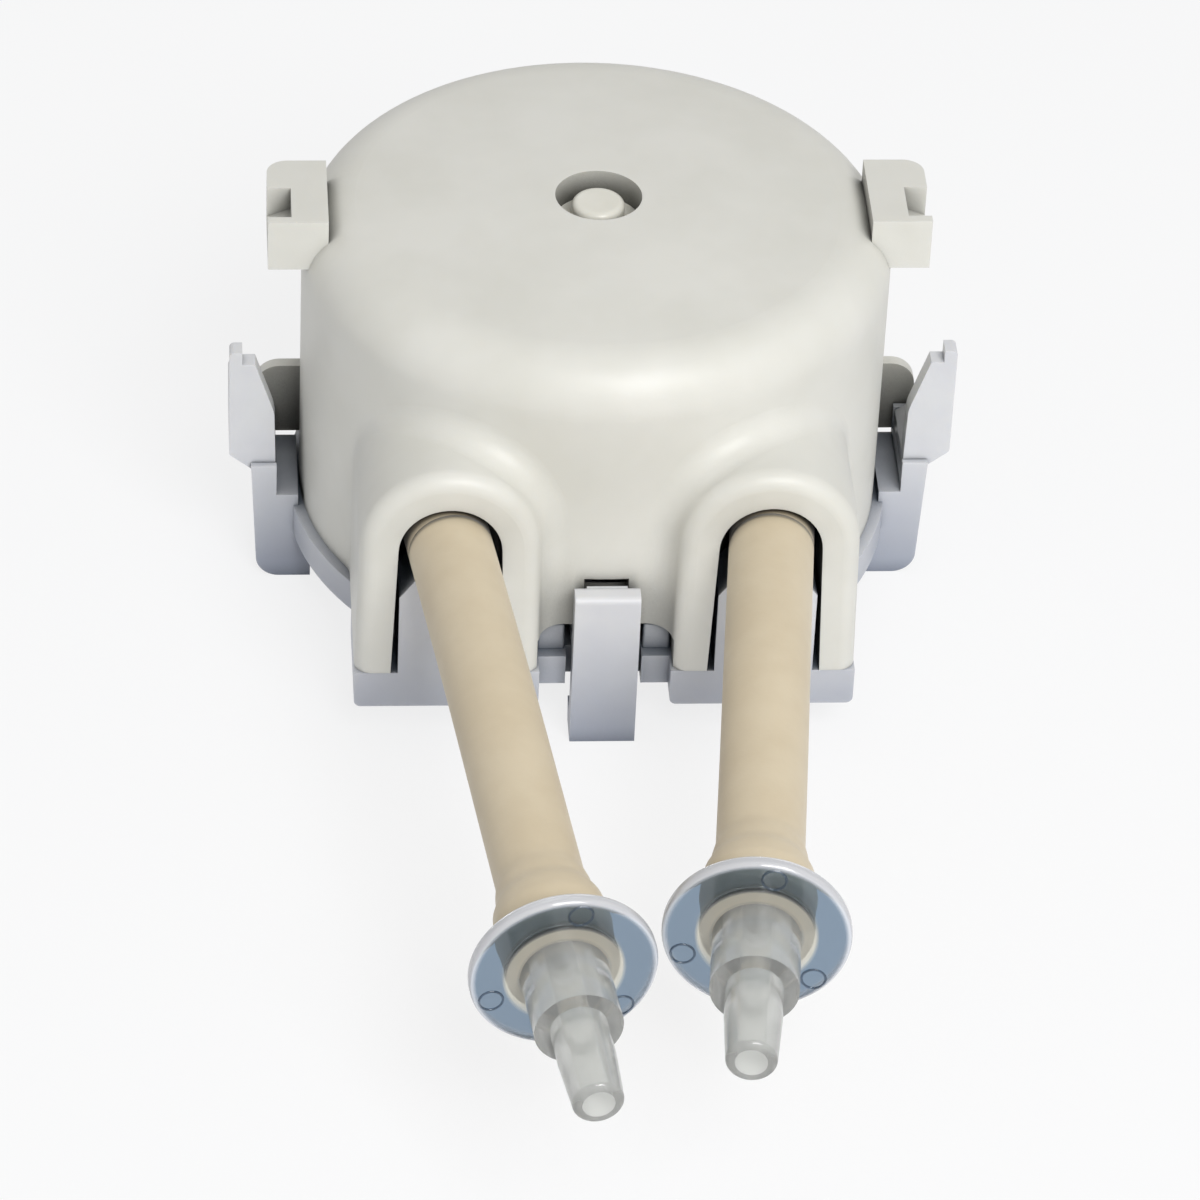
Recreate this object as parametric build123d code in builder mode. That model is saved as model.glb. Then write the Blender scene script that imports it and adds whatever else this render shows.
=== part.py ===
"""Peristaltic pump head for 1/8 inch bore tubing, as an assembly of separate pieces.

The origin is on the rotor axis in the plane of the motor face, Z is up towards the cover,
and both tube ends leave towards -Y.  All sizes are in millimetres.
"""

import os
from math import acos, atan2, cos, degrees, hypot, pi, radians, sin, sqrt, tan

from build123d import *

# --- Driving dimensions -------------------------------------------------------------------
# Tubing: the real product takes 1/8 x 1/4 inch tube
tube_od = 6.4
tube_id = 3.2
tube_z = 15.0  # height of the tube's plane over the motor face
port_x = 12.06  # half the distance between the two tube ports

# Housing
track_r = 20.8  # the wall that the rollers press the tube against
wall = 1.95
drum_r = track_r + wall
hood_reach = 2.55  # how far the hoods' front face stands out from the drum
hood_y = -(drum_r + hood_reach)
split_z = 3.2  # parting line between base and cover
crown_z = 29.8  # top of the cover at the rotor axis
rim_round = 4.4
crown_drop = 1.05  # how far the domed top falls towards its edge
roof = 2.3

# Rotor
roller_r = 5.0
pinch = 2.9  # gap between a roller and the track, a little under the tube's two walls
roller_pitch_r = track_r - pinch - roller_r
roller_len = 10.8
rotor_angles = {1: 30.0, 2: 150.0, 3: 270.0}
shaft_d = 5.0  # D shaft of the motor
shaft_flat = 0.5  # depth of the D's flat

# Clearances
run_gap = 0.1  # between parts that turn on each other
slide_gap = 0.15  # between parts that are lifted off each other
sink = 0.5  # how far a boss runs into the wall that carries it
edge_round = 0.5  # small moulded edges

os.makedirs("parts", exist_ok=True)


def save(part, name):
    part.label = name
    export_step(part, f"parts/{name}.step")


# --- Tube path ----------------------------------------------------------------------------
# Seen from above, each end comes in through its port, bends a little towards the wall and
# runs on tangent to the track.
tube_r = tube_od / 2
wrap_r = track_r - slide_gap - tube_r
port_run = 8.0  # from the hood face to the bend
port_bend_r = 25.0
lead_angle = {-1: 7.4, 1: 5.9}  # how far each end turns towards the other


def tube_points(side):
    """Port, bend and tangent point of one end of the tube, and the tangent point's angle."""
    a = radians(lead_angle[side])
    bend = (port_x + port_run * sin(a), hood_y + port_run * cos(a))
    reach = hypot(*bend)
    wrap_from = degrees(atan2(bend[1], bend[0]) + acos(wrap_r / reach))
    touch = (wrap_r * cos(radians(wrap_from)), wrap_r * sin(radians(wrap_from)))
    return [(side * x, y) for x, y in ((port_x, hood_y), bend, touch)], wrap_from


def run_in(side):
    """The path of one end of the tube, from the hood face to the track."""
    points, _ = tube_points(side)
    return FilletPolyline(*[(x, y, tube_z) for x, y in points], radius=port_bend_r)


def polar(r, angle, z=0.0):
    return Vector(r * cos(radians(angle)), r * sin(radians(angle)), z)


# --- Housing cover ------------------------------------------------------------------------
arch_r = tube_od / 2 + 0.7  # half width of the opening
hood_r = arch_r + 2.9  # outer radius of a hood
hood_arch_z = 14.7  # centre of the arches
hood_lean = 1.2  # degrees that the sides of a hood lean out towards its foot
arch_lean = 2.0  # the same for the sides of the opening
lip_t = 1.6  # thickness of the hood's front lip
arch_depth = 6.0
hood_blend = 2.0
hood_edge = 1.3
passage_w = tube_od + 0.5
passage_z = 18.9

recess_r = 3.35
boss_r = 6.6
boss_z = 24.6
bush_r = 4.1
bush_top_z = 27.4
journal_r = 2.05

lug_reach = 2.65
lug_x = drum_r + lug_reach
lug_y0, lug_y1 = -4.0, 4.5
lug_z0, lug_z1 = 25.7, 30.0
lug_notch = (-3.2, 0.7)  # Y range of the notch in the outer half
lug_notch_depth = 1.8

rib_y = 4.3
rib_t = 1.0
rib_reach = 3.45
rib_x = drum_r + rib_reach
rib_z0, rib_z1 = 4.4, 10.7
rib_round = 2.0
lug_round = 1.6
lug_notch_floor = 1.9  # depth of the notch at its inner end
lug_notch_fall = 0.75  # how much deeper it gets towards the outside

window_x = 5.2
window_z = 5.7
catch_z0, catch_z1 = 8.3, 10.1
catch_w = 3.4


def arch_foot(radius, lean):
    """Half width of an arch at the parting line, where its sides have leant out."""
    return radius / cos(radians(lean)) + (hood_arch_z - split_z) * tan(radians(lean))


def arch_outline(radius, lean):
    """An arch over each port: a round top that runs into straight, slightly leaning sides."""
    across, rise = radius * cos(radians(lean)), radius * sin(radians(lean))
    foot = arch_foot(radius, lean)
    for side in (-1, 1):
        middle = side * port_x
        with BuildLine() as outline:
            left = Line((middle - foot, split_z), (middle - across, hood_arch_z + rise))
            top = ThreePointArc(left @ 1, (middle, hood_arch_z + radius),
                                (middle + across, hood_arch_z + rise))
            right = Line(top @ 1, (middle + foot, split_z))
            Line(right @ 1, left @ 0)
        make_face(outline.edges())


def is_hood_root(edge):
    """True for the edges where a hood runs into the drum."""
    on_drum = all(abs(hypot(p.X, p.Y) - drum_r) < 0.05 for p in (edge @ 0.1, edge @ 0.9))
    middle = edge @ 0.5
    hood_top = hood_arch_z + hood_r + hood_blend
    return on_drum and middle.Y < 0 and split_z + 0.1 < middle.Z < hood_top


def is_hood_rim(edge):
    """True for the outer edges of a hood's front face, apart from its foot."""
    on_face = all(abs((edge @ t).Y - hood_y) < 0.01 for t in (0.1, 0.9))
    return on_face and (edge @ 0.5).Z > split_z + 0.1


with BuildPart() as cover:
    # Round drum with a domed top and a soft rim
    with BuildSketch(Plane.XZ) as drum_profile:
        with BuildLine():
            edge_z = crown_z - crown_drop
            Line((0, split_z), (drum_r, split_z))
            Line((drum_r, split_z), (drum_r, edge_z))
            mid_z = crown_z - crown_drop / 4
            ThreePointArc((drum_r, edge_z), (drum_r / 2, mid_z), (0, crown_z))
            Line((0, crown_z), (0, split_z))
        make_face()
        rim = drum_profile.vertices().filter_by(lambda v: v.X > 1 and v.Y > split_z + 1)
        fillet(rim, radius=rim_round)
    revolve(axis=Axis.Z)

    # Hoods over the two ports
    with BuildSketch(Plane.XZ.offset(-hood_y)):
        arch_outline(hood_r, hood_lean)
    extrude(amount=hood_y)
    fillet(cover.edges().filter_by(is_hood_root), radius=hood_blend)
    fillet(cover.edges().filter_by(is_hood_rim), radius=hood_edge)

    # Grip lugs at the top of both sides, each with a notch in its outer half
    with BuildSketch(Plane.XY.offset(lug_z0)) as lugs:
        for side in (-1, 1):
            with Locations((side * (lug_x + track_r) / 2, (lug_y0 + lug_y1) / 2)):
                Rectangle(lug_x - track_r, lug_y1 - lug_y0)
        corners = lugs.vertices().filter_by(lambda v: abs(v.X) > drum_r and v.Y > 0)
        fillet(corners, radius=lug_round)
    extrude(amount=lug_z1 - lug_z0)
    notch_y0, notch_y1 = lug_notch
    with BuildSketch(Plane.XZ.offset(-notch_y0)):
        for side in (-1, 1):
            inner, outer = side * (lug_x - lug_notch_depth), side * (lug_x + slide_gap)
            floor, top = lug_z1 - lug_notch_floor, lug_z1 + slide_gap
            with BuildLine():
                Polyline((inner, top), (inner, floor), (outer, floor - lug_notch_fall),
                         (outer, top), close=True)
            make_face()
    extrude(amount=-(notch_y1 - notch_y0), mode=Mode.SUBTRACT)

    # Guard ribs behind the side latches
    with BuildSketch(Plane.XZ.offset(-rib_y)) as ribs:
        for side in (-1, 1):
            with Locations((side * (rib_x + track_r) / 2, (rib_z0 + rib_z1) / 2)):
                Rectangle(rib_x - track_r, rib_z1 - rib_z0)
        tips = ribs.vertices().filter_by(lambda v: abs(v.X) > drum_r and v.Y > rib_z1 - 1)
        fillet(tips, radius=rib_round)
    extrude(amount=-rib_t)

    # Cavity: the round track, opened along the tube's two straight runs
    with BuildSketch(Plane.XY.offset(split_z)):
        Circle(track_r)
    extrude(amount=crown_z - roof - split_z, mode=Mode.SUBTRACT)
    for side in (-1, 1):
        with BuildSketch(Plane.XY.offset(split_z)):
            with BuildLine():
                run_in(side)
            trace(line_width=passage_w)
            with Locations((side * port_x, hood_y)):
                Rectangle(4 * tube_od, 2 * lip_t, mode=Mode.SUBTRACT)
        extrude(amount=passage_z - split_z, mode=Mode.SUBTRACT)
    with BuildSketch(Plane.XZ.offset(-hood_y)):
        arch_outline(arch_r, arch_lean)
    extrude(amount=-arch_depth, mode=Mode.SUBTRACT)

    # Boss under the roof that holds the upper bush
    with BuildSketch(Plane.XY.offset(boss_z)):
        Circle(boss_r)
    extrude(amount=crown_z - roof - boss_z + sink)
    with BuildSketch(Plane.XY.offset(boss_z)):
        Circle(bush_r)
    extrude(amount=bush_top_z - boss_z, mode=Mode.SUBTRACT)
    with BuildSketch(Plane.XY.offset(boss_z)):
        Circle(recess_r)
    extrude(amount=crown_z, mode=Mode.SUBTRACT)

    # Windows over the base's front ledge, and the catch for the front latch
    with BuildSketch(Plane.XZ.offset(-hood_y)):
        with Locations((0, split_z)):
            Rectangle(2 * window_x, window_z - split_z, align=(Align.CENTER, Align.MIN))
        with Locations((0, (catch_z0 + catch_z1) / 2)):
            Rectangle(catch_w, catch_z1 - catch_z0)
    extrude(amount=hood_y + track_r - wall, mode=Mode.SUBTRACT)

save(cover.part, "housing_cover")

# --- Upper bush ---------------------------------------------------------------------------
bush_bevel = 0.3
with BuildPart() as cover_bush:
    with BuildSketch(Plane.XY.offset(boss_z)):
        Circle(bush_r)
        Circle(journal_r + run_gap / 2, mode=Mode.SUBTRACT)
    extrude(amount=bush_top_z - boss_z)
    chamfer(cover_bush.edges().filter_by(GeomType.CIRCLE).sort_by(SortBy.RADIUS)[:2],
            length=bush_bevel)

save(cover_bush.part, "cover_bush")

# --- Base plate ---------------------------------------------------------------------------
flange_reach = 0.85
flange_r = drum_r + flange_reach
face_relief = 0.6  # the motor face stands proud of the flange by this much
face_inset = 2.75
face_r = drum_r - face_inset
pilot_r = 6.0  # bore for the motor's pilot
pilot_depth = 2.6
base_boss_r = 9.0
base_boss_z = 5.6
base_bush_r = 5.6
spigot_r = track_r - slide_gap
spigot_t = 1.3
spigot_z = 5.0
pad_depth = 8.3
pad_y = hood_y + pad_depth  # rear edge of the foot pads under the hoods
pad_w = 2 * arch_foot(hood_r, hood_lean)
pad_foot = 2.5  # depth of the lowest part of each pad
pad_round = 0.9 * face_relief
ledge_reach = 0.65
ledge_y = -(drum_r + ledge_reach)
ledge_x = window_x + run_gap
saddle_w = 2 * (arch_r - slide_gap)
saddle_leg_z = 10.4
saddle_top_z = 12.0
saddle_top_w = 5.2
saddle_depth = 4.5
cradle_r = tube_r + run_gap

foot_z = -3.7  # the head stands on its two side blocks and the front latch
block_inset = 0.85
block_in = drum_r - block_inset  # side blocks, which reach down past the motor face
block_reach = 3.35
block_out = drum_r + block_reach
block_flare = 0.5  # how far the outer face leans out towards the top
block_top_out = block_out + block_flare
block_y = 4.0
block_z = 4.2
block_round = 1.8
slot_w = 1.85  # from the drum to the cheeks
cheek_in = drum_r + slot_w
cheek_t = 0.5
cheek_z = 7.0

arm_pivot_reach = 2.75
arm_pivot_x, arm_pivot_z = drum_r + arm_pivot_reach, 5.0
arm_pivot_r = 0.95

latch_pivot_inset = 1.35
latch_pivot_y, latch_pivot_z = -(drum_r - latch_pivot_inset), 4.45
latch_pivot_r = 0.9
latch_slot_w = 5.8
latch_slot_inset = 0.75
latch_slot_y = -(drum_r - latch_slot_inset)
socket_w = 4.8
socket_depth = 2.8
socket_y = latch_pivot_y + socket_depth

with BuildPart() as base:
    with BuildSketch(Plane.XY.offset(face_relief)):
        Circle(flange_r)
        for side in (-1, 1):
            with Locations((side * port_x, (hood_y + pad_y) / 2)):
                Rectangle(pad_w, pad_y - hood_y)
        with Locations((0, (ledge_y + pad_y) / 2)):
            Rectangle(2 * ledge_x, pad_y - ledge_y)
    extrude(amount=split_z - face_relief)

    # Feet under the hoods and the raised motor face
    with BuildSketch():
        Circle(face_r)
        for side in (-1, 1):
            with Locations((side * port_x, hood_y + pad_foot / 2)):
                Rectangle(pad_w, pad_foot)
    extrude(amount=face_relief)
    pads = base.edges().filter_by(Axis.Y).filter_by(
        lambda e: (e @ 0.5).Z < 0.01 and abs(abs((e @ 0.5).X) - port_x) > hood_r - 1)
    fillet(pads, radius=pad_round)

    # Boss for the lower bush, and the spigot that centres the cover
    with BuildSketch(Plane.XY.offset(split_z)):
        Circle(base_boss_r)
    extrude(amount=base_boss_z - split_z)
    with BuildSketch(Plane.XY.offset(split_z)):
        Circle(spigot_r)
        Circle(spigot_r - spigot_t, mode=Mode.SUBTRACT)
        for side in (-1, 1):
            with BuildLine(mode=Mode.PRIVATE) as gap_path:
                run_in(side)
            trace(gap_path.line, line_width=passage_w + 2 * sink, mode=Mode.SUBTRACT)
        with Locations((0, -track_r)):
            Rectangle(2 * window_x, 4 * spigot_t, mode=Mode.SUBTRACT)
    extrude(amount=spigot_z - split_z)

    # Side blocks: solid feet below, with a socket and two cheeks for each side latch
    for side in (-1, 1):
        with BuildSketch(Plane.XZ.offset(block_y)) as block:
            with BuildLine():
                outline = [
                    (block_in, foot_z), (block_out, foot_z), (block_top_out, cheek_z),
                    (cheek_in, cheek_z), (cheek_in, block_z), (drum_r + slide_gap, block_z),
                    (drum_r + slide_gap, split_z), (block_in, split_z),
                ]
                Polyline([(side * x, z) for x, z in outline], close=True)
            make_face()
            corner = block.vertices().filter_by(
                lambda v: abs(v.X) > block_out - 0.1 and v.Y < foot_z + 0.1)
            fillet(corner, radius=block_round)
        extrude(amount=-2 * block_y)
        with BuildSketch(Plane.XZ.offset(block_y - cheek_t)):
            with Locations((side * (cheek_in + block_top_out) / 2, block_z)):
                Rectangle(block_top_out - cheek_in + 2 * sink, cheek_z - block_z + sink,
                          align=(Align.CENTER, Align.MIN))
            with Locations((side * arm_pivot_x, arm_pivot_z)):
                Circle(arm_pivot_r + run_gap)
        extrude(amount=-2 * (block_y - cheek_t), mode=Mode.SUBTRACT)

    # Saddles that hold the tube up to the arches
    with BuildSketch(Plane.XZ.offset(-hood_y)):
        for side in (-1, 1):
            with BuildLine():
                half, top = saddle_w / 2, saddle_top_w / 2
                x = side * port_x
                Polyline((x - half, split_z - sink), (x - half, saddle_leg_z),
                         (x - top, saddle_top_z), (x + top, saddle_top_z),
                         (x + half, saddle_leg_z), (x + half, split_z - sink), close=True)
            make_face()
    extrude(amount=-saddle_depth)
    for side in (-1, 1):
        turn = radians(lead_angle[side])
        along = (side * sin(turn), cos(turn), 0)
        with BuildSketch(Plane(origin=(side * port_x, hood_y, tube_z), z_dir=along)):
            Circle(cradle_r)
        extrude(amount=saddle_depth * 2, both=True, mode=Mode.SUBTRACT)

    # Slot and socket for the front latch
    with BuildSketch(Plane.XY):
        with Locations((0, (latch_slot_y + hood_y) / 2)):
            Rectangle(latch_slot_w, latch_slot_y - hood_y)
    extrude(amount=window_z, mode=Mode.SUBTRACT)
    with BuildSketch(Plane.XY.offset(split_z)):
        with Locations((0, (latch_pivot_y + socket_y) / 2)):
            Rectangle(socket_w, socket_y - latch_pivot_y)
    extrude(amount=window_z - split_z)
    with BuildSketch(Plane.YZ.offset(-latch_slot_w)):
        with Locations((latch_pivot_y, latch_pivot_z)):
            Circle(latch_pivot_r + run_gap)
    extrude(amount=2 * latch_slot_w, mode=Mode.SUBTRACT)

    # Stepped bore: the motor's pilot below, the bush above
    with BuildSketch(Plane.XY):
        Circle(pilot_r)
    extrude(amount=pilot_depth, mode=Mode.SUBTRACT)
    with BuildSketch(Plane.XY):
        Circle(base_bush_r)
    extrude(amount=base_boss_z, mode=Mode.SUBTRACT)

save(base.part, "base_plate")

# --- Lower bush ---------------------------------------------------------------------------
hub_r = 4.0
with BuildPart() as base_bush:
    with BuildSketch(Plane.XY.offset(pilot_depth)):
        Circle(base_bush_r)
        Circle(hub_r + run_gap / 2, mode=Mode.SUBTRACT)
    extrude(amount=base_boss_z - pilot_depth)

save(base_bush.part, "base_bush")

# --- Rotor --------------------------------------------------------------------------------
lower_plate = (6.4, 9.2)  # Z range
upper_plate = (20.4, 23.2)
hub_foot_z = 2.8
barrel_r = 6.2
pin_r = 1.5
lobe_r = 4.6
waist_r = 9.0
journal_top_z = 29.3
lead_in = 4.0  # round mouth of the drive bore
lead_in_r = 2.8
drive_depth = 15.0
cap_socket_r = 2.2
cap_socket_depth = 2.0


def rotor_plate():
    """Outline of a plate with one lobe for each roller."""
    Circle(waist_r)
    for angle in rotor_angles.values():
        with BuildSketch(mode=Mode.PRIVATE) as lobe:
            tip = polar(roller_pitch_r, angle)
            with Locations((tip.X, tip.Y)):
                Circle(lobe_r)
            Circle(lobe_r)
            make_hull()
        add(lobe.sketch)


def pin_holes():
    for angle in rotor_angles.values():
        tip = polar(roller_pitch_r, angle)
        with Locations((tip.X, tip.Y)):
            Circle(pin_r, mode=Mode.SUBTRACT)


with BuildPart() as carrier:
    with BuildSketch(Plane.XY.offset(lower_plate[0])):
        rotor_plate()
        pin_holes()
    extrude(amount=lower_plate[1] - lower_plate[0])
    with BuildSketch(Plane.XY.offset(hub_foot_z)):
        Circle(hub_r)
    extrude(amount=lower_plate[0] - hub_foot_z)
    with BuildSketch(Plane.XY.offset(lower_plate[1])):
        Circle(barrel_r)
    extrude(amount=upper_plate[0] - lower_plate[1])
    # D bore with a round lead-in
    with BuildSketch(Plane.XY.offset(hub_foot_z)):
        Circle(lead_in_r)
    extrude(amount=lead_in, mode=Mode.SUBTRACT)
    with BuildSketch(Plane.XY.offset(hub_foot_z + lead_in)):
        Circle(shaft_d / 2)
        with Locations((0, shaft_d - shaft_flat)):
            Rectangle(shaft_d, shaft_d, mode=Mode.SUBTRACT)
    extrude(amount=drive_depth - lead_in, mode=Mode.SUBTRACT)
    # Socket for the cap's spigot
    with BuildSketch(Plane.XY.offset(upper_plate[0])):
        Circle(cap_socket_r)
    extrude(amount=-cap_socket_depth, mode=Mode.SUBTRACT)

save(carrier.part, "rotor_carrier")

with BuildPart() as cap:
    with BuildSketch(Plane.XY.offset(upper_plate[0])):
        rotor_plate()
        pin_holes()
    extrude(amount=upper_plate[1] - upper_plate[0])
    with BuildSketch(Plane.XY.offset(upper_plate[1])):
        Circle(journal_r)
    extrude(amount=journal_top_z - upper_plate[1])
    fillet(cap.edges().sort_by(Axis.Z)[-1], radius=edge_round)
    with BuildSketch(Plane.XY.offset(upper_plate[0])):
        Circle(cap_socket_r)
    extrude(amount=run_gap - cap_socket_depth)

save(cap.part, "rotor_cap")

roller_round = 0.6
pin_bevel = 0.25
washer_step = 0.6  # how far the washers' rims lie inside the bosses' rims

for number, angle in rotor_angles.items():
    axis_point = polar(roller_pitch_r, angle)
    middle_z = (lower_plate[1] + upper_plate[0]) / 2
    with BuildPart() as roller:
        bottom = Plane(origin=(axis_point.X, axis_point.Y, middle_z - roller_len / 2))
        with BuildSketch(bottom):
            Circle(roller_r)
            Circle(pin_r + run_gap, mode=Mode.SUBTRACT)
        extrude(amount=roller_len)
        rims = roller.edges().filter_by(GeomType.CIRCLE).group_by(SortBy.RADIUS)[-1]
        fillet(rims, radius=roller_round)
    save(roller.part, f"roller_{number}")

    with BuildPart() as roller_pin:
        foot = Plane(origin=(axis_point.X, axis_point.Y, lower_plate[0]))
        with BuildSketch(foot):
            Circle(pin_r)
        extrude(amount=upper_plate[1] - lower_plate[0])
        chamfer(roller_pin.edges().filter_by(GeomType.CIRCLE), length=pin_bevel)
    save(roller_pin.part, f"roller_pin_{number}")

with BuildPart() as lower_washer:
    with BuildSketch(Plane.XY.offset(base_boss_z)):
        Circle(base_boss_r - washer_step)
        Circle(hub_r + run_gap, mode=Mode.SUBTRACT)
    extrude(amount=lower_plate[0] - base_boss_z - run_gap)

save(lower_washer.part, "lower_thrust_washer")

with BuildPart() as upper_washer:
    with BuildSketch(Plane.XY.offset(upper_plate[1])):
        Circle(boss_r - washer_step)
        Circle(journal_r + run_gap / 2, mode=Mode.SUBTRACT)
    extrude(amount=boss_z - upper_plate[1] - run_gap)

save(upper_washer.part, "upper_thrust_washer")

# --- Latches ------------------------------------------------------------------------------
# Each side latch is a flat fin with a horn, on a bent wall that is pressed to free the head.
fin_front = block_y - cheek_t - run_gap
fin_t = 1.5
neck_in, neck_out = cheek_in + run_gap, block_top_out - 2 * run_gap
fin_reach = 5.55
fin_x = drum_r + fin_reach
ramp_z0, ramp_z1 = 6.2, 7.7
fin_z = 17.4
horn = 1.0
fin_top_reach, fin_top_z = 3.55, 16.3
fin_bend_reach, fin_bend_z = 2.05, 11.7
fin_bend_r = 3.0
fin_top_x, fin_bend_x = drum_r + fin_top_reach, drum_r + fin_bend_reach
pad_wall = 1.2
press_z = 12.0
arm_round = 0.4

for side, name in ((-1, "latch_arm_left"), (1, "latch_arm_right")):
    with BuildPart() as arm:
        with BuildSketch(Plane.XZ.offset(fin_front)) as fin:
            with BuildLine():
                outline = [
                    (neck_out, arm_pivot_z), (neck_out, ramp_z0), (fin_x, ramp_z1),
                    (fin_x, fin_z), (fin_x - horn, fin_z), (fin_x - horn, fin_top_z),
                    (fin_top_x, fin_top_z), (fin_bend_x, fin_bend_z), (neck_in, ramp_z1),
                    (neck_in, arm_pivot_z),
                ]
                Polyline([(side * x, z) for x, z in outline], close=True)
            make_face()
            bends = fin.vertices().filter_by(lambda v: abs(v.Y - fin_bend_z) < 0.01)
            fillet(bends, radius=fin_bend_r)
            ends = fin.vertices().filter_by(
                lambda v: abs(v.Y - ramp_z1) < 0.01 and abs(v.X) > fin_top_x)
            fillet(ends, radius=edge_round)
        extrude(amount=-fin_t)
        with BuildSketch(Plane.XZ.offset(fin_front)):
            with BuildLine():
                wall_line = [
                    (neck_out, arm_pivot_z), (neck_out, ramp_z0), (fin_x, ramp_z1),
                    (fin_x, press_z), (fin_x - pad_wall, press_z),
                    (fin_x - pad_wall, ramp_z1 + pad_wall / 2), (neck_in, ramp_z0 + pad_wall / 2),
                    (neck_in, arm_pivot_z),
                ]
                Polyline([(side * x, z) for x, z in wall_line], close=True)
            make_face()
            with Locations((side * arm_pivot_x, arm_pivot_z)):
                Circle(arm_pivot_r)
        extrude(amount=-2 * fin_front)
        outer = arm.faces().filter_by(Axis.X).sort_by(Axis.X)[-1 if side > 0 else 0]
        fillet(outer.edges().filter_by(Axis.Y), radius=arm_round)
    save(arm.part, name)

tongue_w = 5.0
tongue_t = 1.8
tongue_y0, tongue_y1 = ledge_y - tongue_t, ledge_y
tongue_z = 10.0
nib_z = -1.9  # top of the lip that runs back under the base at the tongue's foot
nib_reach = 1.6
catch_reach = 0.8
catch_land = 0.4
web_t = 1.0

with BuildPart() as front_latch:
    with BuildSketch(Plane.YZ.offset(-tongue_w / 2)) as tongue:
        with BuildLine():
            Polyline(
                (tongue_y0, foot_z), (tongue_y1 + nib_reach / 2, foot_z),
                (tongue_y1 + nib_reach, nib_z),
                (tongue_y1, nib_z), (tongue_y1, tongue_z), (tongue_y0, tongue_z), close=True,
            )
        make_face()
        front_top = tongue.vertices().sort_by(Axis.Y)[-2:]
        fillet(front_top, radius=edge_round)
        with Locations(((tongue_y1 + latch_pivot_y) / 2, latch_pivot_z)):
            Rectangle(latch_pivot_y - tongue_y1, web_t)
        with Locations((latch_pivot_y, latch_pivot_z)):
            Circle(latch_pivot_r)
    extrude(amount=tongue_w)
    # Nib that holds the cover down
    with BuildSketch(Plane.YZ.offset(-catch_w / 2 + slide_gap)):
        with BuildLine():
            low, high = catch_z0 + slide_gap, catch_z1 - slide_gap
            Polyline((tongue_y1 - sink, low), (tongue_y1 + catch_reach, low),
                     (tongue_y1 + catch_reach, low + catch_land), (tongue_y1, high),
                     (tongue_y1 - sink, high), close=True)
        make_face()
    extrude(amount=catch_w - 2 * slide_gap)

save(front_latch.part, "front_latch")

# --- Pump tube ----------------------------------------------------------------------------
# The stretch inside the head.  Two rollers squeeze it against the track; its bore nearly
# closes there, and it gets taller as it gets thinner.
squeeze_angles = (-24, -18, -12, -6, 0, 6, 12, 18, 24)
tube_wall = (tube_od - tube_id) / 2
least_bore = 0.3


def tube_section(angle, offset=0.0):
    """Middle plane of the wrapped tube, and its thickness, this far round from a roller."""
    swing = radians(offset)
    half_chord = roller_r**2 - (roller_pitch_r * sin(swing)) ** 2
    thick = tube_od
    if half_chord > 0:
        face = roller_pitch_r * cos(swing) + sqrt(half_chord)
        thick = min(tube_od, track_r - slide_gap - run_gap - face)
    at = polar(track_r - slide_gap - thick / 2, angle + offset, tube_z)
    return Plane(origin=at, x_dir=polar(1, angle + offset), z_dir=polar(1, angle + offset + 90)), thick


def wrap_plane(angle):
    """Plane across the free tube, this far round the track."""
    return Plane(origin=polar(wrap_r, angle, tube_z), x_dir=polar(1, angle),
                 z_dir=polar(1, angle + 90))


def tube_run(radius, bore):
    """The whole run inside the head as one solid: its outside, or its bore."""
    reach = squeeze_angles[-1]
    wrap_ends = {side: tube_points(side)[1] for side in (-1, 1)}
    free_spans = [
        (wrap_ends[1], rotor_angles[1] - reach),
        (rotor_angles[1] + reach, rotor_angles[2] - reach),
        (rotor_angles[2] + reach, 180 - wrap_ends[-1]),
    ]
    with BuildPart() as run:
        for side in (-1, 1):
            with BuildLine() as path:
                run_in(side)
            with BuildSketch(Plane(origin=path.line @ 0, z_dir=path.line % 0)):
                Circle(radius)
            sweep(path=path.line)
        for start, end in free_spans:
            with BuildSketch(wrap_plane(start)):
                Circle(radius)
            revolve(axis=Axis.Z, revolution_arc=end - start)
        for number in (1, 2):
            for offset in squeeze_angles:
                plane, thick = tube_section(rotor_angles[number], offset)
                height = thick + pi / 2 * (tube_od - thick)
                if bore:
                    thick = max(least_bore, thick - 2 * tube_wall)
                    height -= 2 * tube_wall
                with BuildSketch(plane):
                    Ellipse(thick / 2, height / 2)
            loft()
    return run.part


with BuildPart() as pump_tube:
    add(tube_run(tube_od / 2, bore=False))
    add(tube_run(tube_id / 2, bore=True), mode=Mode.SUBTRACT)

save(pump_tube.part, "pump_tube")

# --- Leads and connectors -----------------------------------------------------------------
# Each route runs from the hood face to the back of the connector's disc.
lead_routes = {
    "inlet": [(-12.06, -25.3, 15.0), (-10.26, -39.18, 15.0), (-8.15, -55.2, 14.0),
              (-6.18, -70.6, 13.4)],
    "outlet": [(12.06, -25.3, 15.0), (10.72, -38.23, 15.0), (9.25, -53.2, 13.5),
               (7.77, -67.0, 13.4)],
}

barb_len = 6.5
barb_crest = 3.6  # how far the barb's edge lies behind the disc
barb_r = 2.9
neck_r = 2.4
bore_r = 1.15
disc_r = 6.7
disc_t = 1.2
disc_round = 0.4 * disc_t
shoulder_r = 3.15
shoulder_end = 6.7
land_r = 2.05
land_end = 9.7
tip_r = 1.8
tip_end = 14.2
tip_round = 0.4
barb_back = 1.0  # length of the barb's steep back
cuff_waist = 0.2  # how much the stretched end draws in behind the barb
cuff_r = 4.2
cuff_len = 8.5


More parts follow.
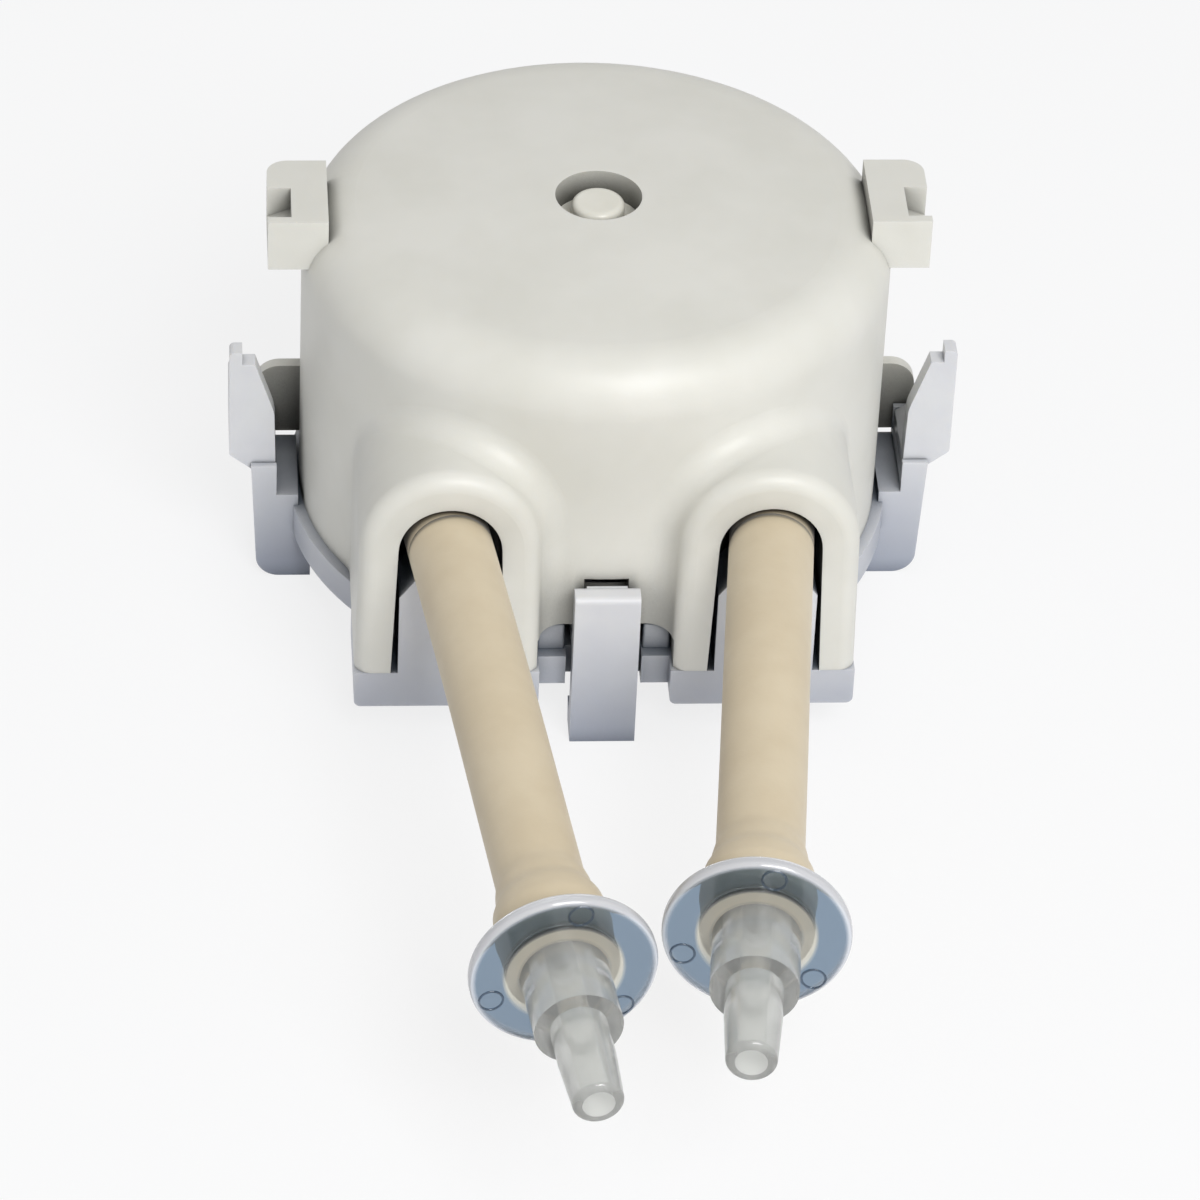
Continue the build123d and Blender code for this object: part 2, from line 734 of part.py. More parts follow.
def bend_radii(points):
    """The largest arc that the two runs beside each corner leave room for."""
    radii = []
    for before, corner, after in zip(points, points[1:], points[2:]):
        run_a, run_b = Vector(*corner) - Vector(*before), Vector(*after) - Vector(*corner)
        turn = radians(run_a.get_angle(run_b))
        radii.append(0.45 * min(run_a.length, run_b.length) / tan(turn / 2))
    return radii


for name, route in lead_routes.items():
    radii = bend_radii(route)
    print(name, "lead bends", [round(r, 1) for r in radii])
    end = Vector(*route[-1])
    away = (end - Vector(*route[-2])).normalized()
    side_on = Plane(origin=end, x_dir=away, z_dir=away.cross(Vector(0, 0, 1)).normalized())
    end_axis = Axis(end, away)

    with BuildPart() as lead:
        with BuildLine() as path:
            FilletPolyline(*route, radius=radii)
        print(name, "lead length", round(path.wire().length, 2))
        section = Plane(origin=path.line @ 0, z_dir=path.line % 0)
        with BuildSketch(section):
            Circle(tube_od / 2)
        sweep(path=path.line)
        # The tube's end is stretched over the barb
        with BuildSketch(side_on):
            with BuildLine():
                Polyline((-cuff_len, 0), (-cuff_len, tube_od / 2 - 0.01), (-barb_crest, cuff_r),
                         (-barb_crest / 2, cuff_r - cuff_waist), (0, cuff_r - cuff_waist / 2),
                         (0, 0), close=True)
            make_face()
        revolve(axis=end_axis)
        with BuildSketch(section):
            Circle(tube_id / 2)
        sweep(path=path.line, mode=Mode.SUBTRACT)
        with BuildSketch(side_on):
            with BuildLine():
                Polyline((-barb_len, 0), (-barb_len, tube_id / 2), (-barb_crest, barb_r),
                         (barb_back - barb_crest, neck_r), (0, neck_r), (0, 0), close=True)
            make_face()
        revolve(axis=end_axis, mode=Mode.SUBTRACT)
    save(lead.part, f"{name}_lead")

    with BuildPart() as connector:
        with BuildSketch(side_on) as profile:
            with BuildLine():
                Polyline((-barb_len, bore_r), (-barb_len, tube_id / 2), (-barb_crest, barb_r),
                         (-barb_crest, neck_r), (0, neck_r), (0, disc_r), (disc_t, disc_r),
                         (disc_t, shoulder_r), (shoulder_end, shoulder_r), (shoulder_end, land_r),
                         (land_end, land_r), (tip_end, tip_r), (tip_end, bore_r), close=True)
            make_face()
            rim = profile.vertices().filter_by(lambda v: abs(v.Y - disc_r) < 0.01)
            fillet(rim, radius=disc_round)
            tip = profile.vertices().filter_by(
                lambda v: abs(v.X - tip_end) < 0.01 and abs(v.Y - tip_r) < 0.01)
            fillet(tip, radius=tip_round)
        revolve(axis=end_axis)
    save(connector.part, f"{name}_connector")
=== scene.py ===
# %% [markdown]
# # A small peristaltic pump head
#
# This lesson dresses a finished CAD model of a pump head: a round moulded housing that clips
# over a roller rotor, two soft tube ends and two clear stepped connectors.  The CAD model
# stays where it is.  Here each piece gets the surface of the material it is moulded from,
# the two free tube ends are drawn as real tubes, and a camera and soft lights are set up.

import math

import bmesh
import bpy
from mathutils import Matrix, Vector


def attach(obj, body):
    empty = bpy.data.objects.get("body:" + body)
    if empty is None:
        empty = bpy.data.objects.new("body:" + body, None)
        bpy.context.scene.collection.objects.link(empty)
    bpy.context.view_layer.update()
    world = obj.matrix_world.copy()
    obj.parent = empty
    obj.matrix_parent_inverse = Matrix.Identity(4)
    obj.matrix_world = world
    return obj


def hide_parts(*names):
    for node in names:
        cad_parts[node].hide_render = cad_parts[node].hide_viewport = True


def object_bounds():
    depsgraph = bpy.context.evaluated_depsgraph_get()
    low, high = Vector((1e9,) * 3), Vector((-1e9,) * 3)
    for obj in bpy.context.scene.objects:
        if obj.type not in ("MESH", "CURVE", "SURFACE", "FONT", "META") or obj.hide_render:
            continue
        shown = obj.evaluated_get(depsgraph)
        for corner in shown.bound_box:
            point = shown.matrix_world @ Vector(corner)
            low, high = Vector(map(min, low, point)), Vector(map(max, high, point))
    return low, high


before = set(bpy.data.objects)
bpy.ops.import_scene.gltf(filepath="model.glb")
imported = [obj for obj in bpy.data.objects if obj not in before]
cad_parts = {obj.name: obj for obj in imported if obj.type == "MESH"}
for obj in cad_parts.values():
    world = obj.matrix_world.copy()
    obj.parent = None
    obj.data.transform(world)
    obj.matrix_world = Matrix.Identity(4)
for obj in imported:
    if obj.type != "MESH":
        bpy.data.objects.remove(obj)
cad_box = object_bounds()
MM = 0.001  # the CAD works in millimetres, Blender in metres
print("CAD box, mm:", [[round(c / MM, 1) for c in corner] for corner in cad_box])

# %% [markdown]
# ## Camera
#
# A product shot of a part this small is taken with a long lens from well away, so that
# parallel edges stay nearly parallel.  The camera is placed on a line of sight: a point to
# look at, a direction given as two angles, a distance, and a slight roll.

# %% Place the camera
LOOK_AT = Vector((0.70, -10.0, -1.77)) * MM
AZIMUTH = math.radians(-5.1)
ELEVATION = math.radians(37.7)
ROLL = math.radians(2.75)
DISTANCE = 501.4 * MM
LENS_MM = 191.6

back = Vector((
    math.sin(AZIMUTH) * math.cos(ELEVATION),
    -math.cos(AZIMUTH) * math.cos(ELEVATION),
    math.sin(ELEVATION),
))
level_right = Vector((math.cos(AZIMUTH), math.sin(AZIMUTH), 0))
level_up = back.cross(level_right)
right = math.cos(ROLL) * level_right + math.sin(ROLL) * level_up
up = math.cos(ROLL) * level_up - math.sin(ROLL) * level_right

camera_data = bpy.data.cameras.new("camera")
camera_data.lens = LENS_MM
camera_data.sensor_width = 36
camera_data.clip_start = 0.01
camera = bpy.data.objects.new("camera", camera_data)
turn = Matrix((right, up, back)).transposed().to_4x4()
camera.matrix_world = Matrix.Translation(LOOK_AT + back * DISTANCE) @ turn
bpy.context.scene.collection.objects.link(camera)
bpy.context.scene.camera = camera
print("camera at, mm:", [round(c / MM) for c in camera.matrix_world.translation])

# %% [markdown]
# ## The two free tube ends
#
# Each end is a short, stiff piece of elastomer tube.  It leaves its port level, sags a
# little, and is stretched over the barb of its connector, where it swells.  A curve alone has
# one thickness, so the curve is only the route: the tube is a mesh, made of rings that
# follow the route's smooth line and grow near the barb.

# %% Routes, as the CAD has them
TUBE_R = 3.2
BORE_R = 1.6
ROUTES = {
    "inlet": [(-12.06, -25.3, 15.0), (-10.26, -39.18, 15.0), (-8.15, -55.2, 14.0),
              (-6.18, -70.6, 13.4)],
    "outlet": [(12.06, -25.3, 15.0), (10.72, -38.23, 15.0), (9.25, -53.2, 13.5),
               (7.77, -67.0, 13.4)],
}


def smooth_line(name, points):
    """The points along a NURBS curve that has the route's points as control points."""
    data = bpy.data.curves.new(f"{name}_route", "CURVE")
    data.dimensions = "3D"
    data.resolution_u = 32
    spline = data.splines.new("NURBS")
    spline.points.add(len(points) - 1)
    for knot, point in zip(spline.points, points):
        knot.co = (*[c * MM for c in point], 1)
    spline.order_u = 3
    spline.use_endpoint_u = True
    route = bpy.data.objects.new(f"{name}_route", data)
    mesh = bpy.data.meshes.new_from_object(route)
    line = [vertex.co.copy() for vertex in mesh.vertices]
    bpy.data.objects.remove(route)
    bpy.data.curves.remove(data)
    return line


# %% [markdown]
# ### Meshes made of rings
#
# The tubes, and the ring marks further on, are built the same way: rings of points one after
# another, joined by faces, and the last ring joined to the first.  Three small functions do
# that, and a fourth turns the finished mesh into a piece that rides on a body.


# %% Rings and pieces
def circle(across, over, radius, count):
    """Offsets from a circle's middle to points round it, in the plane of two directions."""
    angles = [2 * math.pi * k / count for k in range(count)]
    return [(across * math.cos(a) + over * math.sin(a)) * radius for a in angles]


def ring_at(mesh, middle, offsets, scale=1.0):
    """A ring of vertices round a middle."""
    return [mesh.verts.new((middle + offset) * scale) for offset in offsets]


def join_rings(mesh, rings):
    """Joins each ring to the next with faces, and the last to the first."""
    for ring_a, ring_b in zip(rings, rings[1:] + rings[:1]):
        for k in range(len(ring_a)):
            j = (k + 1) % len(ring_a)
            mesh.faces.new((ring_a[k], ring_a[j], ring_b[j], ring_b[k]))


def make_piece(name, mesh, smooth=True):
    """Turns a finished mesh into a piece on the base."""
    data = bpy.data.meshes.new(name)
    mesh.to_mesh(data)
    mesh.free()
    data.polygons.foreach_set("use_smooth", [smooth] * len(data.polygons))
    piece = bpy.data.objects.new(name, data)
    bpy.context.scene.collection.objects.link(piece)
    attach(piece, "base")
    return piece


# %% [markdown]
# ### From a line to a tube
#
# At every point of the line a ring is drawn square to it.  The outside goes along the line
# and the bore comes back, so the mesh is one closed skin with a real wall.  The outer radius
# swells over the barb and pulls in again just before the connector's disc.

# %% The shape of a tube's end
# distance from the tube's end, outer radius, bore radius
END_SHAPE = [
    (0.0, 4.05, 2.4), (0.25, 4.12, 2.4), (1.2, 4.02, 2.42), (2.6, 4.08, 2.55),
    (3.6, 4.2, 2.9), (4.6, 4.05, 2.5), (6.5, 3.5, 1.6), (8.5, TUBE_R, BORE_R),
]
OUTSIDE, BORE = 1, 2  # the columns of END_SHAPE
RING_POINTS = 48
RING_STEP = 0.5  # from one ring to the next along the tube


def end_radius(distance, column):
    """Radius of the outside or the bore at this distance from the tube's end."""
    for near, far in zip(END_SHAPE, END_SHAPE[1:]):
        if distance <= far[0]:
            t = (distance - near[0]) / (far[0] - near[0])
            t = t * t * (3 - 2 * t)
            return near[column] + (far[column] - near[column]) * t
    return END_SHAPE[-1][column]


def resample(line, step):
    """Points evenly spaced along a line, and their distances from its end, in millimetres."""
    lengths = [0.0]
    for a, b in zip(line, line[1:]):
        lengths.append(lengths[-1] + (b - a).length / MM)
    total = lengths[-1]
    count = round(total / step)
    points, left = [], []
    index = 0
    for n in range(count + 1):
        want = total * n / count
        while index < len(line) - 2 and lengths[index + 1] < want:
            index += 1
        t = (want - lengths[index]) / (lengths[index + 1] - lengths[index])
        points.append(line[index].lerp(line[index + 1], t))
        left.append(total - want)
    return points, left, total


# %% Build a tube
def tube_mesh(line):
    """A hollow tube along a line, its outside and bore shaped by END_SHAPE, and its length."""
    points, left, total = resample(line, RING_STEP)
    mesh = bmesh.new()
    rings = []
    for column in (OUTSIDE, BORE):
        order = range(len(points)) if column == OUTSIDE else reversed(range(len(points)))
        for i in order:
            ahead = points[min(i + 1, len(points) - 1)] - points[max(i - 1, 0)]
            side = ahead.cross(Vector((0, 0, 1))).normalized()
            over = side.cross(ahead).normalized()
            radius = end_radius(left[i], column) * MM
            rings.append(ring_at(mesh, points[i], circle(side, over, radius, RING_POINTS)))
    join_rings(mesh, rings)
    bmesh.ops.recalc_face_normals(mesh, faces=mesh.faces)
    return mesh, total


# %% [markdown]
# ### Ring marks on the discs
#
# Ejector pins push a moulding out of its mould, and each leaves a faint raised ring.  There
# are three on the outer face of each connector's disc.  Every ring is a thin bead, swept
# round a circle as a small mesh, because it catches the light only if it has real height.

# %% Ring marks
DISC_R = 6.7
DISC_T = 1.2
MARK_AT = 5.45  # from the connector's axis to the middle of each ring
MARK_R = 0.85
MARK_ANGLES = (80, 200, 320)
BEAD_R = 0.09
BEAD_POINTS = 8


def connector_axes(route):
    """Where a connector starts, the way it points, and the two directions across it."""
    end, before = Vector(route[-1]), Vector(route[-2])
    away = (end - before).normalized()
    across = Vector((0, 0, 1)).cross(away).normalized()
    return end, away, across, away.cross(across)


def disc_marks(route):
    """Three rings of a thin bead on a disc's outer face."""
    end, away, across, over = connector_axes(route)
    mesh = bmesh.new()
    for mark_angle in map(math.radians, MARK_ANGLES):
        spoke = across * math.cos(mark_angle) + over * math.sin(mark_angle)
        middle = end + away * DISC_T + spoke * MARK_AT
        rings = []
        for out in circle(across, over, 1.0, RING_POINTS):
            bead = circle(out, away, BEAD_R, BEAD_POINTS)
            rings.append(ring_at(mesh, middle + out * MARK_R, bead, scale=MM))
        join_rings(mesh, rings)
    bmesh.ops.recalc_face_normals(mesh, faces=mesh.faces)
    return mesh


marks = {}
for end_name, route_points in ROUTES.items():
    marks[end_name] = make_piece(
        f"{end_name}_disc_marks", disc_marks(route_points))
print("ring marks on each disc:", len(MARK_ANGLES))

# %% [markdown]
# ### Placing the tubes
#
# A tube replaces the plain solid that the CAD holds for it, which is hidden, and its real
# length is printed.

# %% Tubes in place of the leads
tube_ends = []
for end_name, route_points in ROUTES.items():
    line = smooth_line(end_name, route_points)
    mesh, length = tube_mesh(line)
    tube = make_piece(f"{end_name}_tube_end", mesh)
    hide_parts(f"{end_name}_lead")
    tube_ends.append(tube)
    print(end_name, "tube end:", round(length, 1), "mm long")

# %% [markdown]
# ## Helpers for materials
#
# Colours are written as the hex values a paint chart would give, and turned to the linear
# values that a renderer adds up.  One function adds a node, sets it and links it.


# %% Colour and node helpers
def linear(hex_value):
    """A sRGB hex colour as linear red, green, blue and alpha."""
    channels = [int(hex_value[i:i + 2], 16) / 255 for i in (1, 3, 5)]
    curve = [c / 12.92 if c <= 0.04045 else ((c + 0.055) / 1.055) ** 2.4 for c in channels]
    return (*curve, 1.0)


def add_node(owner, kind, settings=(), links=()):
    """Adds a node.  Settings are (name, value); links are (input, other node, its output)."""
    tree = owner.node_tree
    node = tree.nodes.new(kind)
    for name, value in dict(settings).items():
        if name in node.inputs:
            node.inputs[name].default_value = value
        else:
            setattr(node, name, value)
    for name, other, output in links:
        tree.links.new(other.outputs[output], node.inputs[name])
    return node


def set_stops(ramp, stops):
    """Gives a colour ramp its stops, each a position and a hex colour."""
    elements = ramp.color_ramp.elements
    while len(elements) < len(stops):
        elements.new(0.5)
    for element, (position, hex_value) in zip(elements, stops):
        element.position = position
        element.color = linear(hex_value)


# %% Starting a material and putting it on pieces
def new_material(name, settings=()):
    """A node material with one Principled shader, already joined to the output."""
    material = bpy.data.materials.new(name)
    material.use_nodes = True
    material.node_tree.nodes.clear()
    shader = add_node(material, "ShaderNodeBsdfPrincipled", settings)
    add_node(material, "ShaderNodeOutputMaterial", links=[("Surface", shader, "BSDF")])
    return material, shader


def give(material, *names):
    """Puts a material on CAD nodes in place of what they came with."""
    for name in names:
        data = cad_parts[name].data
        data.materials.clear()
        data.materials.append(material)
    print(material.name, "on", len(names), "CAD pieces")


# %% [markdown]
# ## Moulded plastic
#
# Most pieces are injection moulded.  Light goes a millimetre or so into a pale plastic before
# it comes out, which softens its shading, so it needs subsurface scattering.  The mould leaves
# a satin skin with a fine grain, and faint differences of tint where the plastic flowed.  Real
# mould grain is about a tenth of a millimetre, so it is drawn three to five times as coarse
# to show at all.

# %% A satin moulded plastic
GRAIN_HEIGHT = 0.02
LIGHT_DEPTH = 1.2  # how far light gets into the plastic


def mottled_plastic(name, light, dark, mottle_mm, grain_mm, settings):
    """Slow changes of tint, a fine grain, and depth for light.  Gives the tint's node too."""
    material, shader = new_material(name, {
        "Subsurface Radius": (1.0, 0.9, 0.75), "Subsurface Scale": LIGHT_DEPTH * MM, **settings})
    place = add_node(material, "ShaderNodeTexCoord")
    flow = add_node(
        material, "ShaderNodeTexNoise",
        {"Scale": 1 / (mottle_mm * MM), "Detail": 3.0, "Roughness": 0.55},
        [("Vector", place, "Object")],
    )
    tint = add_node(material, "ShaderNodeValToRGB", links=[("Fac", flow, "Fac")])
    set_stops(tint, [(0.35, dark), (0.65, light)])
    grain = add_node(
        material, "ShaderNodeTexNoise", {"Scale": 1 / (grain_mm * MM), "Detail": 2.0},
        [("Vector", place, "Object")],
    )
    bump = add_node(
        material, "ShaderNodeBump", {"Strength": 0.35, "Distance": GRAIN_HEIGHT * MM},
        [("Height", grain, "Fac")],
    )
    tree = material.node_tree
    tree.links.new(tint.outputs["Color"], shader.inputs["Base Color"])
    tree.links.new(bump.outputs["Normal"], shader.inputs["Normal"])
    return material, tint


# %% [markdown]
# ### Painted shade in the gaps
#
# Little light gets into the gaps between the mouldings and into the deep arches, so shade
# is painted there.  An ambient occlusion node measures how open the space over a point is, and
# a ramp turns that into a colour which darkens the plastic's own: painted shade.

# %% Painted shade in the gaps
CLOSED_IN, OPEN = 0.12, 0.72  # openness at which the darkening is full, and at which it ends
GAP_SAMPLES = 8


def paint_gap_shade(material, tint, reach_mm, deepest):
    """Paints shade into the base colour where walls closer than the reach leave little open
    space.
    """
    gap = add_node(material, "ShaderNodeAmbientOcclusion",
                   {"Distance": reach_mm * MM, "samples": GAP_SAMPLES})
    shade = add_node(material, "ShaderNodeValToRGB", links=[("Fac", gap, "AO")])
    set_stops(shade, [(CLOSED_IN, deepest), (OPEN, "#FFFFFF")])
    shaded = add_node(material, "ShaderNodeMixRGB", {"blend_type": "MULTIPLY", "Fac": 1.0},
                      [("Color1", tint, "Color"), ("Color2", shade, "Color")])
    shader = material.node_tree.nodes["Principled BSDF"]
    material.node_tree.links.new(shaded.outputs["Color"], shader.inputs["Base Color"])


# %% [markdown]
# ## Moulded acetal: the housing cover and the rotor
#
# The cover and the rotor's carrier are moulded in natural acetal, a dense white plastic with a
# slightly warm tint.  The rollers, bushes, washers and the rotor's cap turn on other pieces,
# so they are polished smoother than the housing.

# %% Acetal
acetal, acetal_tint = mottled_plastic(
    "moulded_acetal", "#E0DFD8", "#DAD9D1", mottle_mm=9.0, grain_mm=0.5,
    settings={"Roughness": 0.42, "IOR": 1.48, "Subsurface Weight": 0.2})
# Painted shade: gaps and the deep arches are darkened in the colour, down to a dark grey.
paint_gap_shade(acetal, acetal_tint, 6.0, "#565654")
give(acetal, "housing_cover", "rotor_carrier")

# %% Polished acetal
bearing_acetal, _ = mottled_plastic(
    "polished_bearing_acetal", "#E6E4DA", "#DFDDD2", mottle_mm=4.0, grain_mm=0.3,
    settings={"Roughness": 0.28, "IOR": 1.48, "Subsurface Weight": 0.15})
give(bearing_acetal, "cover_bush", "rotor_cap", "base_bush", "roller_1", "roller_2", "roller_3",
     "lower_thrust_washer", "upper_thrust_washer")

# %% [markdown]
# ## Natural polypropylene: base and latches
#
# The base and its latches are moulded in natural polypropylene, which is clearer than acetal.
# Its upper walls look milky.  Low down it is painted greyer, with a faint lilac blue, for shade
# near the table and bluish light from below: the tint is multiplied by a second colour that
# changes with height.

# %% Polypropylene
LOW_SHADE_TOP_Z = 8.0  # height over the motor face where the blue has gone
polypropylene, milky = mottled_plastic(
    "natural_polypropylene", "#DBDCDE", "#D5D6DA", mottle_mm=6.0, grain_mm=0.4,
    settings={"Roughness": 0.38, "IOR": 1.48, "Subsurface Weight": 0.3})
where = add_node(polypropylene, "ShaderNodeTexCoord")
height = add_node(polypropylene, "ShaderNodeSeparateXYZ", links=[("Vector", where, "Object")])
level = add_node(
    polypropylene, "ShaderNodeMapRange",
    {"From Min": cad_box[0][2], "From Max": LOW_SHADE_TOP_Z * MM}, [("Value", height, "Z")])
# Painted shade and painted bluish light: the colour grows greyer and bluer towards the bottom.
low_shade_ramp = add_node(polypropylene, "ShaderNodeValToRGB", links=[("Fac", level, "Result")])
set_stops(low_shade_ramp, [(0.0, "#BCC2CF"), (1.0, "#FFFFFF")])
painted_low_shade = add_node(
    polypropylene, "ShaderNodeMixRGB", {"blend_type": "MULTIPLY", "Fac": 1.0},
    [("Color1", milky, "Color"), ("Color2", low_shade_ramp, "Color")])
# Painted shade: gaps are darkened in the colour, down to a blue-grey.
paint_gap_shade(polypropylene, painted_low_shade, 3.0, "#55626E")
give(polypropylene, "base_plate", "latch_arm_left", "latch_arm_right", "front_latch")

# %% [markdown]
# ### The base's walls in the windows
#
# Two low walls of the base stand in the cover's front windows, one each side of the front
# latch.  Each is a small block with its edges rounded over, because moulded edges are never
# sharp.

# %% Window walls
WALL_X = (3.0, 5.1)  # from the middle of the head
WALL_Y = (-22.45, -21.7)
WALL_Z = (3.1, 5.55)
WALL_ROUND = 0.2
for wall_name, wall_side in (("window_wall_left", -1), ("window_wall_right", 1)):
    mesh = bmesh.new()
    bmesh.ops.create_cube(mesh, size=1.0)
    size = Vector([high - low for low, high in (WALL_X, WALL_Y, WALL_Z)]) * MM
    middle = Vector((wall_side * sum(WALL_X), sum(WALL_Y), sum(WALL_Z))) * MM / 2
    for vertex in mesh.verts:
        vertex.co = middle + Vector([c * d for c, d in zip(vertex.co, size)])
    bmesh.ops.bevel(mesh, geom=mesh.edges[:], offset=WALL_ROUND * MM, segments=3,
                    profile=0.5, affect="EDGES")
    window_wall = make_piece(wall_name, mesh, smooth=False)
    window_wall.data.materials.append(polypropylene)
print("window walls, mm high:", round(WALL_Z[1] - WALL_Z[0], 2))

# %% [markdown]
# ## Thermoplastic elastomer: the tube
#
# Pump tube is a cream rubber-like plastic, extruded through a die.  Its skin is dry and
# matte, with faint cloudy differences of tint and a little sheen at grazing angles.

# %% Elastomer
elastomer, cream = mottled_plastic(
    "cream_elastomer", "#D5C7AC", "#CFC0A4", mottle_mm=5.0, grain_mm=0.3,
    settings={"Roughness": 0.55, "IOR": 1.48, "Subsurface Weight": 0.15, "Sheen Weight": 0.15})
# Painted shade: the tube is darkened in the colour where it lies in gaps and arches.
paint_gap_shade(elastomer, cream, 3.0, "#5A5347")
give(elastomer, "pump_tube")
for tube in tube_ends:
    tube.data.materials.append(elastomer)

# %% [markdown]
# ## Clear polycarbonate: the connectors
#
# The connectors are moulded in clear polycarbonate, which bends light strongly.  The disc is
# polished.  Its blue-grey is painted: it stands in for bluish surroundings seen through the
# glass.  Its paler rim is a painted highlight, and the tube's cream in the middle of the disc
# is painted on too.  The stepped nozzle looks slightly milky.  All of it is one moulding, so
# the colour and finish change with the distance from the moulding's axis: the length of the
# cross product of the axis and a line from it to the point.

# %% Polycarbonate
# nozzle, painted tube's end behind the disc from and to, painted blue-grey disc from and to,
# painted pale rim
ZONE_RADII = (3.1, 3.4, 4.1, 4.4, 6.2, 6.5)
ZONE_PAINT_AND_FINISH = {
    # Painted light in the base colours: the disc's blue-grey, the rim's pale highlight and the
    # tube's cream.
    "Base Color": ("#ECEDEA", "#E8E4D6", "#E8E4D6", "#8296AA", "#8296AA", "#EDEEF3"),
    "Roughness": ("#6E6E6E", "#606060", "#606060", "#404040", "#404040", "#505050"),
    "Transmission Weight": ("#E2E2E2", "#CCCCCC", "#CCCCCC", "#FAFAFA", "#FAFAFA", "#A8A8A8"),
}
POLYCARBONATE_IOR = 1.58


def clear_moulding_with_painted_zones(name, route):
    """Clear plastic whose painted colour and finish change with the distance from its axis."""
    end, away, _, _ = connector_axes(route)
    material, shader = new_material(name, {"IOR": POLYCARBONATE_IOR})
    place = add_node(material, "ShaderNodeTexCoord")
    from_end = add_node(material, "ShaderNodeVectorMath", {"operation": "SUBTRACT"},
                        [(0, place, "Object")])
    from_end.inputs[1].default_value = end * MM
    turned = add_node(material, "ShaderNodeVectorMath", {"operation": "CROSS_PRODUCT"},
                      [(0, from_end, "Vector")])
    turned.inputs[1].default_value = away
    radius = add_node(material, "ShaderNodeVectorMath", {"operation": "LENGTH"},
                      [(0, turned, "Vector")])
    zone = add_node(material, "ShaderNodeMath", {"operation": "DIVIDE"},
                    [(0, radius, "Value")])
    zone.inputs[1].default_value = DISC_R * MM
    positions = [zone_radius / DISC_R for zone_radius in ZONE_RADII]
    for socket, hex_values in ZONE_PAINT_AND_FINISH.items():
        ramp = add_node(material, "ShaderNodeValToRGB", links=[("Fac", zone, "Value")])
        set_stops(ramp, list(zip(positions, hex_values)))
        material.node_tree.links.new(ramp.outputs["Color"], shader.inputs[socket])
    return material


for end_name, route_points in ROUTES.items():
    polycarbonate = clear_moulding_with_painted_zones(f"{end_name}_polycarbonate", route_points)
    give(polycarbonate, f"{end_name}_connector")
    marks[end_name].data.materials.append(polycarbonate)

# %% [markdown]
# ## Ground steel: the roller pins
#
# The pins are ground stainless steel.  Grinding leaves fine rings round the pin, so a noise
# that is squeezed along Z draws them as slight changes of roughness.  Real grinding marks are
# too fine to show, so they are drawn about an eighth of a millimetre apart.

# %% Steel
GRIT_MM = 1.5
SQUEEZE = 12.0
steel, steel_shader = new_material(
    "ground_stainless_steel", {"Base Color": linear("#C9C9C6"), "Metallic": 1.0})
pin_place = add_node(steel, "ShaderNodeTexCoord")
squeezed = add_node(steel, "ShaderNodeMapping", {"Scale": (1.0, 1.0, SQUEEZE)},
                    [("Vector", pin_place, "Object")])
grit = add_node(steel, "ShaderNodeTexNoise", {"Scale": 1 / (GRIT_MM * MM), "Detail": 2.0},
                [("Vector", squeezed, "Vector")])
grit_roughness = add_node(steel, "ShaderNodeMapRange", {"To Min": 0.18, "To Max": 0.36},
                          [("Value", grit, "Fac")])
steel.node_tree.links.new(grit_roughness.outputs["Result"], steel_shader.inputs["Roughness"])
give(steel, "roller_pin_1", "roller_pin_2", "roller_pin_3")

# %% [markdown]
# ## Floor and light
#
# The part stands on a white table.  To a camera ray, and to a ray that comes off or through
# something shiny, the table is mostly plain white.  The rest of it is a matte surface, which
# keeps a faint shadow under the part.


# %% Which rays see the plain white
def background_rays(owner):
    """One for rays that see the background: from the camera, off gloss and through glass."""
    rays = add_node(owner, "ShaderNodeLightPath")
    seen = add_node(owner, "ShaderNodeMath", {"operation": "MAXIMUM"},
                    [(0, rays, "Is Camera Ray"), (1, rays, "Is Glossy Ray")])
    return add_node(owner, "ShaderNodeMath", {"operation": "MAXIMUM"},
                    [(0, seen, "Value"), (1, rays, "Is Transmission Ray")])


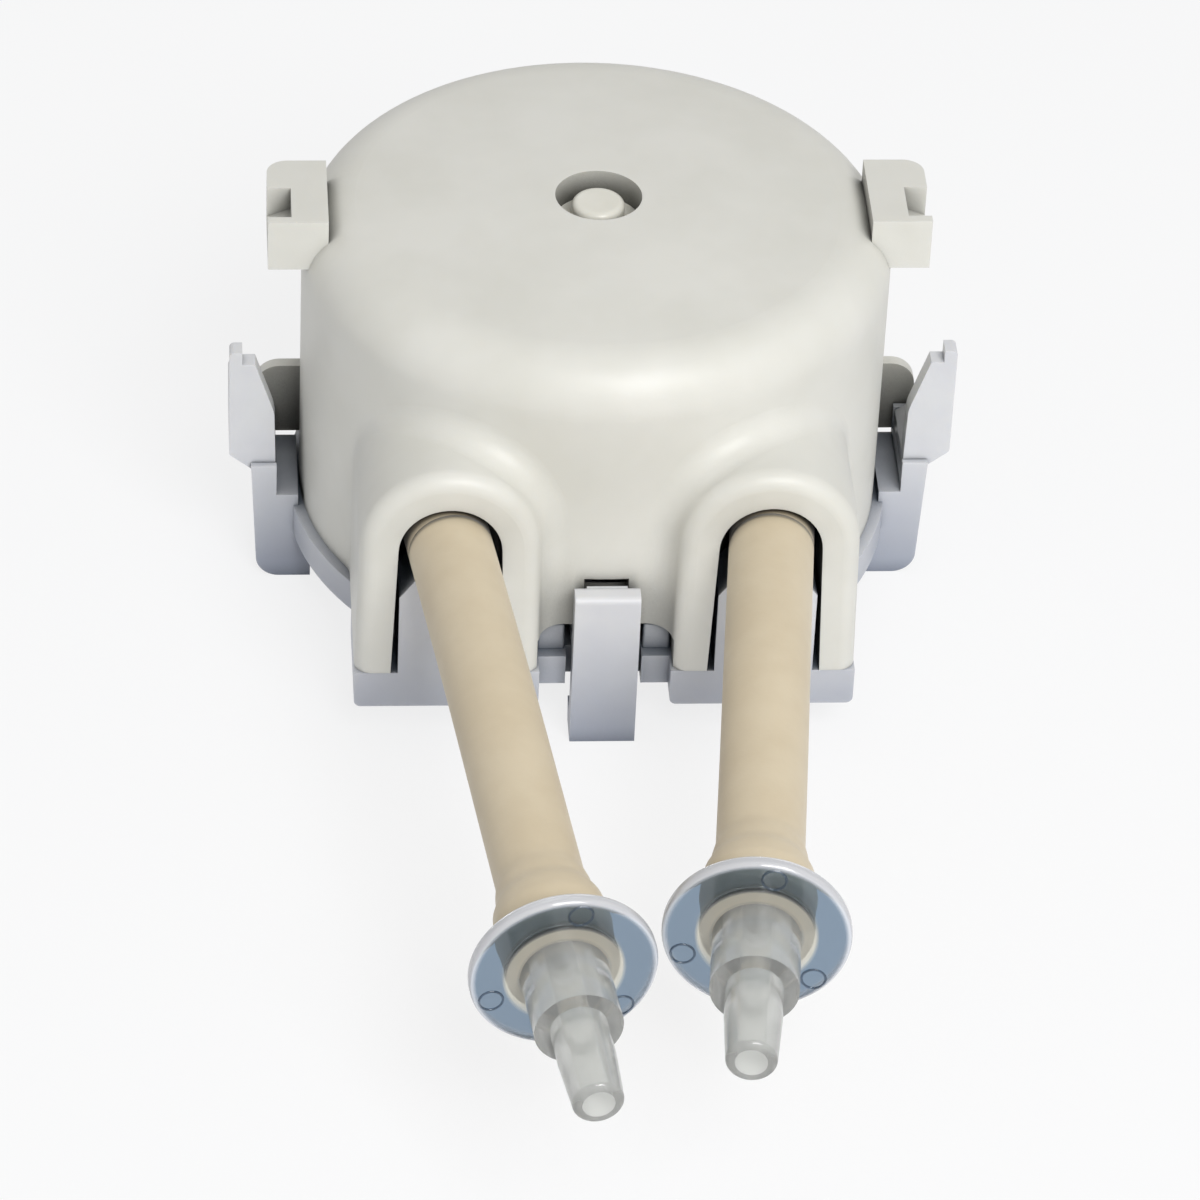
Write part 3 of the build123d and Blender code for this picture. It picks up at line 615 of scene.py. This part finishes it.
# %% Floor
FLOOR_REACH = 3.0  # metres from the middle to each edge
PLAIN_SHARE = 0.8  # how much of the table is plain white to those rays
floor_z = cad_box[0][2]
floor_mesh = bpy.data.meshes.new("table_top")
corners = [(x * FLOOR_REACH, y * FLOOR_REACH, floor_z)
           for x, y in ((-1, -1), (1, -1), (1, 1), (-1, 1))]
floor_mesh.from_pydata(corners, [], [(0, 1, 2, 3)])
floor = bpy.data.objects.new("table_top", floor_mesh)
bpy.context.scene.collection.objects.link(floor)
print("table top at, mm:", round(floor_z / MM, 2))

# %% White table
table_white, table_shader = new_material(
    "white_table", {"Base Color": linear("#E9EAED"), "Roughness": 0.9})
share = add_node(table_white, "ShaderNodeMath", {"operation": "MULTIPLY"},
                 [(0, background_rays(table_white), "Value")])
share.inputs[1].default_value = PLAIN_SHARE
glow = add_node(table_white, "ShaderNodeEmission", {"Color": linear("#FFFFFF")})
mix = add_node(table_white, "ShaderNodeMixShader",
               links=[(0, share, "Value"), (1, table_shader, "BSDF"), (2, glow, "Emission")])
table_output = table_white.node_tree.nodes["Material Output"]
table_white.node_tree.links.new(mix.outputs["Shader"], table_output.inputs["Surface"])
floor_mesh.materials.append(table_white)

# %% [markdown]
# ### A sky and one softbox
#
# An even white sky fills the shadows.  One large softbox in front, above and a little to the
# right gives the shading its direction.

# %% Sky
SKY_LEVEL = 0.44
world = bpy.data.worlds.new("studio")
world.use_nodes = True
bpy.context.scene.world = world
sky = world.node_tree.nodes["Background"]
sky.inputs["Color"].default_value = linear("#FFFFFF")
sky_level = add_node(world, "ShaderNodeMapRange", {"To Min": SKY_LEVEL, "To Max": 1.0},
                     [("Value", background_rays(world), "Value")])
world.node_tree.links.new(sky_level.outputs["Result"], sky.inputs["Strength"])

# %% Softbox
KEY_PLACE = Vector((130, -400, 420)) * MM
KEY_TARGET = Vector((0, -20 * MM, 10 * MM))
KEY_SIZE = 280
KEY_WATTS = 2.3
key_data = bpy.data.lights.new("key_softbox", "AREA")
key_data.shape = "SQUARE"
key_data.size = KEY_SIZE * MM
key_data.energy = KEY_WATTS
key = bpy.data.objects.new("key_softbox", key_data)
key.location = KEY_PLACE
key.rotation_euler = (KEY_TARGET - KEY_PLACE).to_track_quat("-Z", "Y").to_euler()
bpy.context.scene.collection.objects.link(key)
print("softbox is", round((KEY_TARGET - KEY_PLACE).length / MM), "mm away")

# %% Finish
bpy.context.scene.view_settings.view_transform = "Standard"
